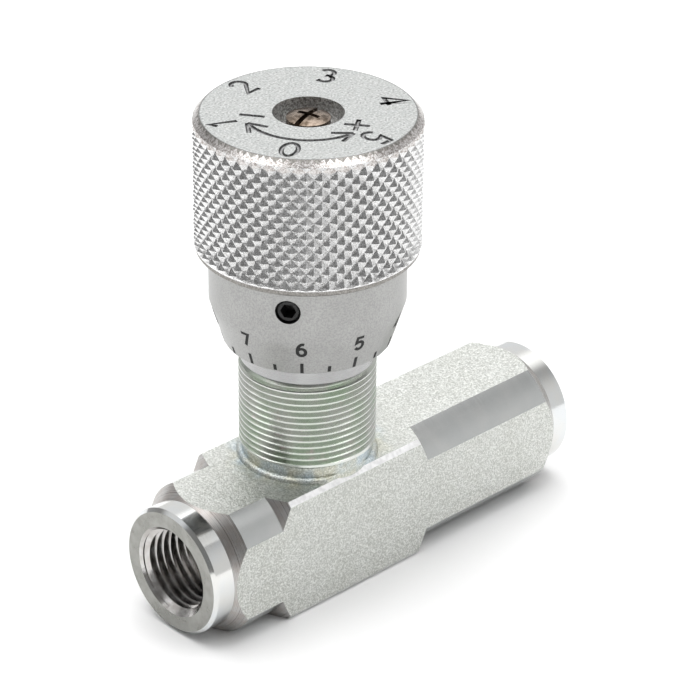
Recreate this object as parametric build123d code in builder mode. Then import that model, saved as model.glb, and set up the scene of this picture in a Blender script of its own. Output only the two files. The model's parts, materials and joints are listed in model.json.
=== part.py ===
from build123d import *
from math import cos, radians, sin, sqrt
import os

# In-line flow control valve for a panel, millimetres.
# Origin: on the neck's axis, in the flat underside of the body. X runs along the ports,
# Z up the neck. The long arm with the check valve points to +X.

# --- driving sizes --------------------------------------------------------------------
bar_width = 19.8                 # square steel bar
port_height = bar_width / 2      # axis of both ports above the underside
short_arm = 26.6                 # neck axis to the face of the short arm
long_arm = 46.3                  # neck axis to the face of the long arm
neck_radius = 10.0               # M20 x 1 panel thread, major radius
neck_top = 35.9                  # height of the neck's upper face
knob_turns_down = 2.0            # turns from the rest setting to closed
knob_turns_up = 3.0              # turns from the rest setting to fully open
spindle_pitch = 1.0              # travel of the spindle in one turn

running = 0.05                   # radial clearance of sliding and turning fits
loose = 0.3                      # gap between bodies that must not touch
play = 0.02                      # play of a part that sits in its groove or pocket
edge = 0.3                       # chamfer on most turned edges
fine_edge = 0.15                 # chamfer on small parts and narrow rings
thread_edge = 0.5                # chamfer that starts an inner part's thread

# --- body bar -------------------------------------------------------------------------
turned_radius = 11.55            # corners of the bar turned down beside the neck block
block_left = -13.9               # neck block, where its corners meet the turned stretch
block_right = 15.2
block_slope = 1.85               # axial run of the coned step up to the block's corner
corner_radius = bar_width / sqrt(2)
bar_edge = 0.65                  # bevel along the block's edges
boss_radius = 9.7                # round end bosses
boss_length = 3.5
boss_edge = 0.5                  # chamfer round each boss
cone_run = 2.3                   # axial run of the shoulder from boss to turned radius

# --- ports: G 1/4, 19 threads per inch ------------------------------------------------
port_radius = 5.9                # tapping bore, 11.8 mm across
port_depth = 13.0
port_mouth_radius = 6.95         # countersunk mouth
passage_radius = 3.0

# --- neck and its bores ---------------------------------------------------------------
bar_top = bar_width
neck_base_radius = 9.6           # smooth root below the thread
thread_bottom = 22.4
root_fillet = 0.8                # concave run-out onto the bar
root_radius = neck_base_radius + root_fillet
thread_lead = 0.6                # chamfer that starts the thread
bonnet_thread_radius = 7.5       # M15 x 1 inside the neck
bonnet_thread_bottom = 25.5
nose_radius = 6.5                # plain bore for the bonnet's nose
nose_bottom = 19.6
chamber_radius = 4.5
seat_bottom = 14.2               # shoulder that carries the orifice
seat_top = 17.2
bypass_radius = 1.4              # slanted drilling from needle chamber to the long arm

# --- check valve in the long arm ------------------------------------------------------
check_bore_radius = 5.5
check_floor = 13.5               # flat floor with the poppet's seat
check_seat_chamfer = 0.5
check_bore_end = long_arm - port_depth - (port_radius - check_bore_radius)
clip_groove_start = 30.4
clip_groove_width = 1.1
clip_groove_radius = 6.1

# --- bonnet ---------------------------------------------------------------------------
collar_radius = 9.85             # smooth ring between thread and knob
collar_top = 39.4
lock_radius = 8.0                # plain cylinder that the lock pad presses on
bonnet_bottom = nose_bottom + 0.01
nose_chamfer = 0.4
bonnet_top = 54.5
spindle_radius = 3.5             # sealed shank, 7 mm
spindle_thread_radius = 5.0      # M10 x 1
spindle_thread_bottom = 30.0     # where the bonnet's threaded bore starts
stop_groove_bottom = 53.0
stop_groove_top = 53.9
stop_groove_radius = 5.7
seal_groove_depth = 1.3

# --- knob -----------------------------------------------------------------------------
rim_height = 39.1                # lower rim of the scale cone at the rest setting
rim_radius = 12.15
cone_top = 45.5
skirt_radius = 14.15
head_bottom = 53.35
knob_radius = 16.15
knob_top = 73.9
knob_chamfer = 0.95
head_land = 0.15                 # plain band under the knurl stands this much inside
head_land_height = 0.7
head_edge = 0.2
skirt_bore_radius = 10.3
skirt_bore_top = 45.0
skirt_bore_cone = 1.0            # length of the cone that narrows to the hub's bore
hub_bore_radius = 8.35
hub_floor = 58.5
spindle_top_radius = 3.0
recess_radius = 5.05
recess_floor = 70.7

# --- lock screw and pad ---------------------------------------------------------------
lock_height = 49.8
lock_angle = 215.5               # plan angle of the screw, from +X towards +Y
lock_screw_radius = 1.77         # M4, at the pitch diameter of its thread
lock_screw_outer = 13.8
lock_screw_inner = 9.85
lock_pad_radius = 1.55
hex_across_flats = 2.0
hex_depth = 2.0

os.makedirs("parts", exist_ok=True)


def save(piece, name):
    """Label a finished piece and write it under its node name."""
    piece.part.label = name
    export_step(piece.part, f"parts/{name}.step")


def revolved(points, axis=Axis.Z):
    """Turned solid from a closed half-outline of (radius, height) points about Z."""
    with BuildPart() as turned:
        with BuildSketch(Plane.XZ):
            with BuildLine():
                Polyline(*points, close=True)
            make_face()
        revolve(axis=axis)
    return turned


def along_port(points):
    """Turned solid about the port axis from (x, radius) points."""
    with BuildPart() as turned:
        with BuildSketch(Plane.XZ):
            with BuildLine():
                Polyline(*[(x, port_height + radius) for x, radius in points], close=True)
            make_face()
        revolve(axis=Axis((0, 0, port_height), (1, 0, 0)))
    return turned


def ring_section(inner, outer, bottom, top, bevel):
    """Half-outline of a plain ring, its outer corners cut by the bevel."""
    return [
        (inner, bottom),
        (outer - bevel, bottom),
        (outer, bottom + bevel),
        (outer, top - bevel),
        (outer - bevel, top),
        (inner, top),
    ]


# --- valve body -----------------------------------------------------------------------
boss_left_end = -short_arm + boss_length
boss_right_end = long_arm - boss_length
turning_outline = [
    (-short_arm, 0),
    (-short_arm, boss_radius - boss_edge),
    (-short_arm + boss_edge, boss_radius),
    (boss_left_end, boss_radius),
    (boss_left_end + cone_run, turned_radius),
    (block_left, turned_radius),
    (block_left + block_slope, corner_radius),
    (block_right - block_slope, corner_radius),
    (block_right, turned_radius),
    (boss_right_end - cone_run, turned_radius),
    (boss_right_end, boss_radius),
    (long_arm - boss_edge, boss_radius),
    (long_arm, boss_radius - boss_edge),
    (long_arm, 0),
]
turning = along_port(turning_outline)

mouth_run = port_mouth_radius - port_radius
left_port = along_port([
    (-short_arm, 0),
    (-short_arm, port_mouth_radius),
    (-short_arm + mouth_run, port_radius),
    (-short_arm + port_depth, port_radius),
    (-short_arm + port_depth + port_radius - passage_radius, passage_radius),
    (check_floor, passage_radius),
    (check_floor, 0),
])
right_port = along_port([
    (check_floor - check_seat_chamfer, 0),
    (check_floor - check_seat_chamfer, passage_radius),
    (check_floor, passage_radius + check_seat_chamfer),
    (check_floor, check_bore_radius),
    (clip_groove_start, check_bore_radius),
    (clip_groove_start, clip_groove_radius),
    (clip_groove_start + clip_groove_width, clip_groove_radius),
    (clip_groove_start + clip_groove_width, check_bore_radius),
    (check_bore_end, check_bore_radius),
    (long_arm - port_depth, port_radius),
    (long_arm - mouth_run, port_radius),
    (long_arm, port_mouth_radius),
    (long_arm, 0),
])

neck_outline = [
    (0, bar_top - 2 * bar_edge),
    (neck_base_radius, bar_top - 2 * bar_edge),
    (neck_base_radius, thread_bottom - (neck_radius - neck_base_radius)),
    (neck_radius, thread_bottom),
    (neck_radius, neck_top - thread_lead),
    (neck_radius - thread_lead, neck_top),
    (0, neck_top),
]
neck = revolved(neck_outline)

with BuildPart() as neck_root:
    with BuildSketch(Plane.XZ):
        with BuildLine():
            Line((0, bar_top - bar_edge), (root_radius, bar_top - bar_edge))
            Line((root_radius, bar_top - bar_edge), (root_radius, bar_top))
            RadiusArc((root_radius, bar_top), (neck_base_radius, bar_top + root_fillet), -root_fillet)
            Line((neck_base_radius, bar_top + root_fillet), (0, bar_top + root_fillet))
            Line((0, bar_top + root_fillet), (0, bar_top - bar_edge))
        make_face()
    revolve(axis=Axis.Z)
    flat_width = bar_width - 2 * bar_edge
    with BuildSketch(Plane.XY.offset(bar_top - bar_edge)):
        Rectangle(4 * neck_radius, flat_width)
    extrude(amount=bar_edge + root_fillet, mode=Mode.INTERSECT)

neck_bore = revolved([
    (0, port_height),
    (passage_radius, port_height),
    (passage_radius, seat_bottom),
    (chamber_radius, seat_bottom),
    (chamber_radius, nose_bottom),
    (nose_radius, nose_bottom),
    (nose_radius, bonnet_thread_bottom),
    (bonnet_thread_radius, bonnet_thread_bottom),
    (bonnet_thread_radius, neck_top),
    (0, neck_top),
])

# The slanted drilling starts in the needle chamber and leaves through the long arm's mouth.
bypass_slope = 0.30
bypass_height_at_floor = 15.5
bypass_start_x = passage_radius
bypass_start_height = bypass_height_at_floor + (check_floor - bypass_start_x) * bypass_slope
bypass_start = (bypass_start_x, 0, bypass_start_height)
bypass_length = (long_arm - bypass_start_x) * sqrt(1 + bypass_slope ** 2)
bypass_plane = Plane(origin=bypass_start, z_dir=(1, 0, -bypass_slope))

with BuildPart() as valve_body:
    with BuildSketch(Plane.YZ.offset(-short_arm)):
        with Locations((0, port_height)):
            Rectangle(bar_width, bar_width)
            chamfer(vertices(), length=bar_edge)
    extrude(amount=short_arm + long_arm)
    add(turning.part, mode=Mode.INTERSECT)
    add(neck.part)
    add(neck_root.part)
    add(left_port.part, mode=Mode.SUBTRACT)
    add(right_port.part, mode=Mode.SUBTRACT)
    add(neck_bore.part, mode=Mode.SUBTRACT)
    with BuildSketch(bypass_plane):
        Circle(bypass_radius)
    extrude(amount=bypass_length, mode=Mode.SUBTRACT)
save(valve_body, "valve_body")

# --- throttle orifice -----------------------------------------------------------------
orifice_radius = 1.6
orifice_entry_radius = 2.5       # coned entry from below
orifice_entry_height = 1.0
throttle_seat = revolved([
    (orifice_radius, seat_bottom + orifice_entry_height),
    (orifice_entry_radius, seat_bottom),
    (chamber_radius, seat_bottom),
    (chamber_radius, seat_top),
    (orifice_radius, seat_top),
])
save(throttle_seat, "throttle_seat")

# --- bonnet ---------------------------------------------------------------------------
bonnet_seal_bottom = 21.4
bonnet_seal_top = 24.2
bonnet_seal_root = nose_radius - seal_groove_depth
spindle_bore_radius = spindle_radius + running
threaded_bore_radius = spindle_thread_radius + running
bonnet_step = bonnet_thread_bottom + 0.1
bonnet = revolved([
    (spindle_bore_radius, bonnet_bottom),
    (nose_radius - nose_chamfer, bonnet_bottom),
    (nose_radius, bonnet_bottom + nose_chamfer),
    (nose_radius, bonnet_seal_bottom),
    (bonnet_seal_root, bonnet_seal_bottom),
    (bonnet_seal_root, bonnet_seal_top),
    (nose_radius, bonnet_seal_top),
    (nose_radius, bonnet_step),
    (bonnet_thread_radius, bonnet_step + thread_edge),
    (bonnet_thread_radius, neck_top),
    (collar_radius - fine_edge, neck_top),
    (collar_radius, neck_top + fine_edge),
    (collar_radius, collar_top - edge),
    (collar_radius - edge, collar_top),
    (lock_radius, collar_top),
    (lock_radius, bonnet_top - thread_edge),
    (lock_radius - thread_edge, bonnet_top),
    (threaded_bore_radius, bonnet_top),
    (threaded_bore_radius, stop_groove_top),
    (stop_groove_radius, stop_groove_top),
    (stop_groove_radius, stop_groove_bottom),
    (threaded_bore_radius, stop_groove_bottom),
    (threaded_bore_radius, spindle_thread_bottom),
    (spindle_bore_radius, spindle_thread_bottom - nose_chamfer),
])
save(bonnet, "bonnet")


# --- seals ----------------------------------------------------------------------------
def o_ring(mean_radius, cord_radius, height):
    """Round-section rubber ring about the neck axis."""
    with BuildPart() as ring:
        with BuildSketch(Plane.XZ):
            with Locations((mean_radius, height)):
                Circle(cord_radius)
        revolve(axis=Axis.Z)
    return ring


seal_cord = seal_groove_depth / 2
cord_height = seal_cord + 0.05   # middle of the rubber ring above the groove's lower wall
backup_width = 1.1
backup_edge = 0.1
bonnet_o_ring = o_ring(nose_radius - seal_cord, seal_cord, bonnet_seal_bottom + cord_height)
save(bonnet_o_ring, "bonnet_o_ring")

bonnet_backup_ring = revolved(ring_section(
    bonnet_seal_root, nose_radius, bonnet_seal_top - backup_width, bonnet_seal_top, backup_edge))
save(bonnet_backup_ring, "bonnet_backup_ring")

spindle_seal_bottom = 24.4
spindle_seal_top = 27.0
spindle_seal_root = spindle_radius - seal_groove_depth
spindle_o_ring = o_ring(spindle_radius - seal_cord, seal_cord, spindle_seal_bottom + cord_height)
save(spindle_o_ring, "spindle_o_ring")

spindle_backup_ring = revolved(ring_section(
    spindle_seal_root, spindle_radius, spindle_seal_top - backup_width, spindle_seal_top, backup_edge))
save(spindle_backup_ring, "spindle_backup_ring")

# --- spindle --------------------------------------------------------------------------
pocket_radius = 2.3              # pocket for the needle's head, open at the lower end
pocket_top = 23.5
swivel_bottom = 20.65
swivel_top = 21.15
swivel_groove_radius = 2.75
spindle_bottom = 19.9
spindle_stop_height = stop_groove_bottom - knob_turns_up * spindle_pitch - 0.1
spindle_thread_start = spindle_thread_bottom + 3.0
stem_radius = 4.2
shoulder_radius = 4.9            # flange that carries the knob
shoulder_bottom = hub_floor - 1.8   # clear of the bonnet's stop ring when closed
spindle_end = recess_floor - 0.6
knob_screw_radius = 1.5          # M3
knob_screw_bottom = 63.5
drive_pin_radius = 0.75
drive_pin_offset = 3.85
drive_pin_bottom = hub_floor - 1.5
drive_pin_top = hub_floor + 2.5

spindle_turning = revolved([
    (0, pocket_top),
    (pocket_radius, pocket_top),
    (pocket_radius, swivel_top),
    (swivel_groove_radius, swivel_top),
    (swivel_groove_radius, swivel_bottom),
    (pocket_radius, swivel_bottom),
    (pocket_radius, spindle_bottom),
    (spindle_radius - edge, spindle_bottom),
    (spindle_radius, spindle_bottom + edge),
    (spindle_radius, spindle_seal_bottom),
    (spindle_seal_root, spindle_seal_bottom),
    (spindle_seal_root, spindle_seal_top),
    (spindle_radius, spindle_seal_top),
    (spindle_radius, spindle_thread_start),
    (spindle_thread_radius - thread_edge, spindle_thread_start),
    (spindle_thread_radius, spindle_thread_start + thread_edge),
    (spindle_thread_radius, spindle_stop_height - thread_edge),
    (spindle_thread_radius - thread_edge, spindle_stop_height),
    (stem_radius, spindle_stop_height),
    (stem_radius, shoulder_bottom),
    (shoulder_radius, shoulder_bottom),
    (shoulder_radius, hub_floor),
    (spindle_top_radius, hub_floor),
    (spindle_top_radius, spindle_end - edge),
    (spindle_top_radius - edge, spindle_end),
    (0, spindle_end),
])

with BuildPart() as adjusting_spindle:
    add(spindle_turning.part)
    with BuildSketch(Plane.XY.offset(knob_screw_bottom)):
        Circle(knob_screw_radius)
    extrude(amount=spindle_end - knob_screw_bottom, mode=Mode.SUBTRACT)
    with BuildSketch(Plane.XY.offset(drive_pin_bottom)):
        with Locations((drive_pin_offset, 0)):
            Circle(drive_pin_radius)
    extrude(amount=hub_floor - drive_pin_bottom, mode=Mode.SUBTRACT)
save(adjusting_spindle, "adjusting_spindle")

with BuildPart() as knob_drive_pin:
    with BuildSketch(Plane.XY.offset(drive_pin_bottom)):
        with Locations((drive_pin_offset, 0)):
            Circle(drive_pin_radius)
    extrude(amount=drive_pin_top - drive_pin_bottom)
    chamfer(knob_drive_pin.edges().filter_by(GeomType.CIRCLE), length=fine_edge)
save(knob_drive_pin, "knob_drive_pin")


def split_ring(inner, outer, bottom, top, gap, angle):
    """Flat open ring, its gap centred on the given plan angle."""
    with BuildPart() as ring:
        with BuildSketch(Plane.XY.offset(bottom)):
            Circle(outer)
            Circle(inner, mode=Mode.SUBTRACT)
            with PolarLocations((inner + outer) / 2, 1, start_angle=angle):
                Rectangle(2 * (outer - inner), gap, mode=Mode.SUBTRACT)
        extrude(amount=top - bottom)
    return ring


stop_ring_inner = 4.6
stop_ring_gap = 3.0
spindle_stop_ring = split_ring(
    stop_ring_inner,
    stop_groove_radius - play,
    stop_groove_bottom + running,
    stop_groove_top - running,
    stop_ring_gap,
    90,
)
save(spindle_stop_ring, "spindle_stop_ring")

swivel_ring_inner = 1.5
swivel_ring_gap = 1.2
needle_swivel_ring = split_ring(
    swivel_ring_inner,
    swivel_groove_radius - play,
    swivel_bottom + play,
    swivel_top - play,
    swivel_ring_gap,
    180,
)
save(needle_swivel_ring, "needle_swivel_ring")

# --- needle ---------------------------------------------------------------------------
# Closed, the cone's orifice_radius circle sits just above the seat's edge.
needle_slope = 0.5               # radius gained for each millimetre up the cone
needle_tip_radius = 0.4
needle_radius = 2.2
closed_gap = 0.1
cone_to_edge = (orifice_radius - needle_tip_radius) / needle_slope
needle_tip = seat_top - cone_to_edge + knob_turns_down * spindle_pitch + closed_gap
needle_cone_top = needle_tip + (needle_radius - needle_tip_radius) / needle_slope
needle_neck_radius = 1.4         # groove for the swivel ring
needle_neck_bottom = swivel_bottom - 0.03
needle_neck_top = swivel_top + 0.03
needle_top = pocket_top - 0.05
throttle_needle = revolved([
    (0, needle_tip),
    (needle_tip_radius, needle_tip),
    (needle_radius, needle_cone_top),
    (needle_radius, needle_neck_bottom),
    (needle_neck_radius, needle_neck_bottom),
    (needle_neck_radius, needle_neck_top),
    (needle_radius, needle_neck_top),
    (needle_radius, needle_top - edge),
    (needle_radius - edge, needle_top),
    (0, needle_top),
])
save(throttle_needle, "throttle_needle")

# --- knob -----------------------------------------------------------------------------
land_radius = knob_radius - head_land
land_top = head_bottom + head_land_height
knob_turning = revolved([
    (skirt_bore_radius, rim_height),
    (rim_radius, rim_height),
    (skirt_radius, cone_top),
    (skirt_radius, head_bottom),
    (land_radius - head_edge, head_bottom),
    (land_radius, head_bottom + head_edge),
    (land_radius, land_top),
    (knob_radius, land_top + head_land),
    (knob_radius, knob_top - knob_chamfer),
    (knob_radius - knob_chamfer, knob_top),
    (recess_radius, knob_top),
    (recess_radius, recess_floor),
    (spindle_top_radius, recess_floor),
    (spindle_top_radius, hub_floor),
    (hub_bore_radius, hub_floor),
    (hub_bore_radius, skirt_bore_top),
    (skirt_bore_radius, skirt_bore_top - skirt_bore_cone),
])

lock_direction = (cos(radians(lock_angle)), sin(radians(lock_angle)), 0)
lock_plane = Plane(origin=(0, 0, lock_height), z_dir=lock_direction)

with BuildPart() as adjusting_knob:
    add(knob_turning.part)
    with BuildSketch(lock_plane.offset(lock_radius)):
        Circle(lock_screw_radius + running)
    extrude(amount=knob_radius - lock_radius, mode=Mode.SUBTRACT)
    with BuildSketch(Plane.XY.offset(hub_floor)):
        with Locations((drive_pin_offset, 0)):
            Circle(drive_pin_radius)
    extrude(amount=drive_pin_top - hub_floor + loose, mode=Mode.SUBTRACT)
save(adjusting_knob, "adjusting_knob")

# --- knob screw and its washer --------------------------------------------------------
washer_thickness = 0.7
washer_outer = 2.9
washer_inner = 1.7
washer_split = 0.5
screw_head_radius = 3.1
screw_head_side = 1.75           # height of the head's straight side
screw_head_dome = 0.45
head_seat = recess_floor + washer_thickness
head_dome_middle = (0.55, 0.22)  # share of the radius, and share of the dome lost there
slot_width = 0.8
cross_width = 0.75
cross_length = 3.4
cross_depth = 1.3
cross_turn = 15.0                # plan angle of the through slot

with BuildPart() as knob_lock_washer:
    with BuildSketch(Plane.XY.offset(recess_floor)):
        Circle(washer_outer)
        Circle(washer_inner, mode=Mode.SUBTRACT)
        with Locations((0, -(washer_outer + washer_inner) / 2)):
            Rectangle(washer_split, washer_outer - washer_inner + 0.8, mode=Mode.SUBTRACT)
    extrude(amount=washer_thickness)
save(knob_lock_washer, "knob_lock_washer")

head_top = head_seat + screw_head_side + screw_head_dome
head_shoulder = head_seat + screw_head_side
screw_tip = knob_screw_bottom + loose
dome_radius_share, dome_drop_share = head_dome_middle
with BuildPart() as knob_screw:
    with BuildSketch(Plane.XZ):
        with BuildLine():
            Line((0, screw_tip), (0, head_top))
            ThreePointArc(
                (0, head_top),
                (screw_head_radius * dome_radius_share, head_top - screw_head_dome * dome_drop_share),
                (screw_head_radius, head_shoulder),
            )
            Polyline(
                (screw_head_radius, head_shoulder),
                (screw_head_radius, head_seat + head_edge),
                (screw_head_radius - head_edge, head_seat),
                (knob_screw_radius, head_seat),
                (knob_screw_radius, screw_tip + thread_edge),
                (knob_screw_radius - thread_edge, screw_tip),
                (0, screw_tip),
            )
        make_face()
    revolve(axis=Axis.Z)
    with BuildSketch(Plane.XY.offset(head_top - cross_depth)):
        with Locations(Rotation(0, 0, cross_turn)):
            Rectangle(2 * screw_head_radius + 1, slot_width)
            Rectangle(cross_width, cross_length)
    extrude(amount=2 * cross_depth, mode=Mode.SUBTRACT)
save(knob_screw, "knob_screw")

# --- lock screw and pad ---------------------------------------------------------------
with BuildPart() as lock_set_screw:
    with BuildSketch(lock_plane.offset(lock_screw_inner)):
        Circle(lock_screw_radius)
    extrude(amount=lock_screw_outer - lock_screw_inner)
    chamfer(lock_set_screw.edges().filter_by(GeomType.CIRCLE), length=edge)
    with BuildSketch(lock_plane.offset(lock_screw_outer - hex_depth)):
        RegularPolygon(hex_across_flats / 2, 6, major_radius=False)
    extrude(amount=hex_depth, mode=Mode.SUBTRACT)
save(lock_set_screw, "lock_set_screw")

lock_pad_face = lock_radius + loose
with BuildPart() as lock_pad:
    with BuildSketch(lock_plane.offset(lock_pad_face)):
        Circle(lock_pad_radius)
    extrude(amount=lock_screw_inner - lock_pad_face - play)
save(lock_pad, "lock_pad")

# --- check valve ----------------------------------------------------------------------
poppet_radius = 4.0
poppet_guide_radius = check_bore_radius - 0.08
poppet_nose = check_floor - 1.2
poppet_nose_radius = passage_radius - 0.9
poppet_cone_end = check_floor + 0.9
poppet_end = 24.2
spring_pocket_radius = 2.9
spring_pocket_floor = 18.0
guide_start = 20.0
retainer_face = 28.0
retainer_back = clip_groove_start + play
rib_count = 3
rib_width = 2.2

rib_root = spring_pocket_radius + 0.3
poppet_turning = along_port([
    (poppet_nose, 0),
    (poppet_nose, poppet_nose_radius),
    (poppet_cone_end, poppet_radius),
    (poppet_end, poppet_radius),
    (poppet_end, spring_pocket_radius),
    (spring_pocket_floor, spring_pocket_radius),
    (spring_pocket_floor, 0),
])
with BuildPart() as check_poppet:
    add(poppet_turning.part)
    with BuildSketch(Plane.YZ.offset(guide_start)):
        with Locations((0, port_height)):
            with PolarLocations((poppet_guide_radius + rib_root) / 2, rib_count, start_angle=-90):
                Rectangle(poppet_guide_radius - rib_root, rib_width)
            Circle(poppet_guide_radius, mode=Mode.INTERSECT)
    extrude(amount=poppet_end - guide_start)
save(check_poppet, "check_poppet")

spring_wire = 0.35
spring_mean_radius = 2.2
spring_coils = 6
spring_start = spring_pocket_floor + spring_wire + running
spring_end = retainer_face - spring_wire - running
with BuildPart() as check_spring:
    with BuildLine() as coil:
        Helix(
            pitch=(spring_end - spring_start) / spring_coils,
            height=spring_end - spring_start,
            radius=spring_mean_radius,
            center=(spring_start, 0, port_height),
            direction=(1, 0, 0),
        )
    with BuildSketch(Plane(origin=coil.line @ 0, z_dir=coil.line % 0)):
        Circle(spring_wire)
    sweep()
save(check_spring, "check_spring")

spigot_radius = 1.7
spigot_length = 1.2
centre_hole_radius = 0.9
flow_hole_radius = 1.15
flow_hole_circle = 4.1
flow_hole_count = 4
with BuildPart() as spring_retainer:
    with BuildSketch(Plane.YZ.offset(retainer_face)):
        with Locations((0, port_height)):
            Circle(check_bore_radius)
            with PolarLocations(flow_hole_circle, flow_hole_count, start_angle=45):
                Circle(flow_hole_radius, mode=Mode.SUBTRACT)
            Circle(centre_hole_radius, mode=Mode.SUBTRACT)
    extrude(amount=retainer_back - retainer_face)
    with BuildSketch(Plane.YZ.offset(retainer_face)):
        with Locations((0, port_height)):
            Circle(spigot_radius)
            Circle(centre_hole_radius, mode=Mode.SUBTRACT)
    extrude(amount=-spigot_length)
save(spring_retainer, "spring_retainer")

clip_inner = 4.6
clip_thickness = 1.0
clip_gap = 1.3
clip_lug_radius = 0.95
clip_hole_radius = 0.4
clip_lug_spread = 30.0           # angle between the two lugs, on either side of straight down
clip_first_lug = -90.0 - clip_lug_spread / 2
with BuildPart() as retainer_circlip:
    with BuildSketch(Plane.YZ.offset(retainer_back)):
        with Locations((0, port_height)):
            Circle(clip_groove_radius - play)
            Circle(clip_inner, mode=Mode.SUBTRACT)
            with PolarLocations(clip_inner, 2, start_angle=clip_first_lug, angular_range=clip_lug_spread):
                Circle(clip_lug_radius)
        with Locations((0, port_height - clip_groove_radius)):
            Rectangle(clip_gap, clip_groove_radius, mode=Mode.SUBTRACT)
        with Locations((0, port_height)):
            with PolarLocations(clip_inner, 2, start_angle=clip_first_lug, angular_range=clip_lug_spread):
                Circle(clip_hole_radius, mode=Mode.SUBTRACT)
    extrude(amount=clip_thickness)
save(retainer_circlip, "retainer_circlip")
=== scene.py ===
import json
import math

import bmesh
import bpy
from mathutils import Matrix, Vector

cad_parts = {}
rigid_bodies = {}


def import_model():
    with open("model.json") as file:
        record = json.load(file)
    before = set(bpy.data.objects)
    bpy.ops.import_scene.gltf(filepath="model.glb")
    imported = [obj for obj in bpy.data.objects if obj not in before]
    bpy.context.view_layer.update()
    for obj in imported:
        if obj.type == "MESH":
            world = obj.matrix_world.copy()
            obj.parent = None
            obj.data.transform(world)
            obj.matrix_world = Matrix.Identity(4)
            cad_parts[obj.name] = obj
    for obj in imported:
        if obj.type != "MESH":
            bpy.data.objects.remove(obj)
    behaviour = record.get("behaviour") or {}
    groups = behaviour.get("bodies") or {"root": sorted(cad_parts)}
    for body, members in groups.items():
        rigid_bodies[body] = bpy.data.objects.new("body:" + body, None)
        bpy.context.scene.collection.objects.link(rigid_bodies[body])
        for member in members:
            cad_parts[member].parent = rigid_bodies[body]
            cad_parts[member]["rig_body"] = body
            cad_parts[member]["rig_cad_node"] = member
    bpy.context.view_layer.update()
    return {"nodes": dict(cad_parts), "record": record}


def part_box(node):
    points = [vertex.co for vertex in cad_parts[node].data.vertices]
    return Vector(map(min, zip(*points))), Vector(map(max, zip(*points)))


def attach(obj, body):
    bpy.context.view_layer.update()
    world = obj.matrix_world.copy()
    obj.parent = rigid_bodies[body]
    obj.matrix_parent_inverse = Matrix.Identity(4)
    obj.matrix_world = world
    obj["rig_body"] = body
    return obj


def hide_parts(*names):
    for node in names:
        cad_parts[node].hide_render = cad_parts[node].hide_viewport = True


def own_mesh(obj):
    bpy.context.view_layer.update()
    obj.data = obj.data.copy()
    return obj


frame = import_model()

# --- sizes of the CAD frame, metres -------------------------------------------------------
MM = 0.001
body_low, body_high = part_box("valve_body")
knob_low, knob_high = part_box("adjusting_knob")
mounts = {mount["name"]: mount for mount in frame["record"]["mounts"]}

port_height = mounts["port_long_arm"]["pos_m"][2]
half_width = port_height                     # half the square bar, which rests on its flat
bar_top = 2 * half_width
neck_top = body_high.z
neck_radius = mounts["panel_neck"]["dims"]["r_mm"] * MM
port_radius = mounts["port_long_arm"]["dims"]["r_mm"] * MM
port_thread_length = mounts["port_long_arm"]["dims"]["length_mm"] * MM
knob_radius = knob_high.y
knob_top = knob_high.z
rim_height = knob_low.z

# --- standard threads ---------------------------------------------------------------------
NECK_PITCH = 1.0 * MM                        # M20 x 1
NECK_THREAD_DEPTH = 0.62 * MM
NECK_GROOVE_WIDTH = 0.86 * MM
NECK_ROOT_WIDTH = 0.16 * MM
PORT_PITCH = 1.337 * MM                      # G 1/4
PORT_THREAD_DEPTH = 0.68 * MM
PORT_GROOVE_WIDTH = 1.08 * MM
PORT_ROOT_WIDTH = 0.26 * MM
NECK_FOOT = 2.75 * MM                        # plain foot between the bar and the neck's thread
neck_thread_bottom = bar_top + NECK_FOOT

# --- knob features -------------------------------------------------------------------------
KNURLS_AROUND = 47
KNURL_HEIGHT = 2.21 * MM
KNURL_DEPTH = 0.66 * MM
KNURL_WORN = 0.07 * MM                       # how far the points are worn back to the cylinder
KNOB_CHAMFER = 0.95 * MM
KNURL_FADE = 0.9 * MM                        # the points run out this far below the dial
KNURL_STEP_BELOW = 0.2 * MM                  # the knurl's lower step starts this far under the land's top
KNURL_STEP_ABOVE = 0.25 * MM                 # and its first points stand this far over it
KNURLED_LENGTH = 19.7 * MM
RIM_RADIUS = 12.15 * MM
SKIRT_RADIUS = 14.15 * MM
CONE_HEIGHT = 6.4 * MM
land_top = knob_top - KNURLED_LENGTH         # top of the plain band under the knurl
cone_top = rim_height + CONE_HEIGHT


# --- mesh helpers ----------------------------------------------------------------------------
WELD_DISTANCE = 0.5e-6                       # joins the points that the import keeps once per face


def mesh_object(name, vertices, faces):
    """New object from plain vertex and face lists, its normals made to point out."""
    mesh = bpy.data.meshes.new(name)
    mesh.from_pydata(vertices, [], faces)
    shape = bmesh.new()
    shape.from_mesh(mesh)
    bmesh.ops.recalc_face_normals(shape, faces=shape.faces)
    shape.to_mesh(mesh)
    shape.free()
    made = bpy.data.objects.new(name, mesh)
    bpy.context.scene.collection.objects.link(made)
    return made


def swept(rings, closed=False):
    """Vertices and faces of a tube through equal rings of points, its ends capped unless closed."""
    count = len(rings[0])
    vertices = [point for ring in rings for point in ring]
    steps = len(rings) if closed else len(rings) - 1
    faces = []
    for step in range(steps):
        here = step * count
        there = (step + 1) % len(rings) * count
        for side in range(count):
            after = (side + 1) % count
            faces.append((here + side, here + after, there + after, there + side))
    if not closed:
        faces.append(tuple(range(count)))
        faces.append(tuple(range(len(vertices) - 1, len(vertices) - 1 - count, -1)))
    return vertices, faces


def joined(parts):
    """One vertex list and one face list from several."""
    vertices, faces = [], []
    for more_vertices, more_faces in parts:
        start = len(vertices)
        vertices += more_vertices
        faces += [tuple(start + index for index in face) for face in more_faces]
    return vertices, faces


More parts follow.
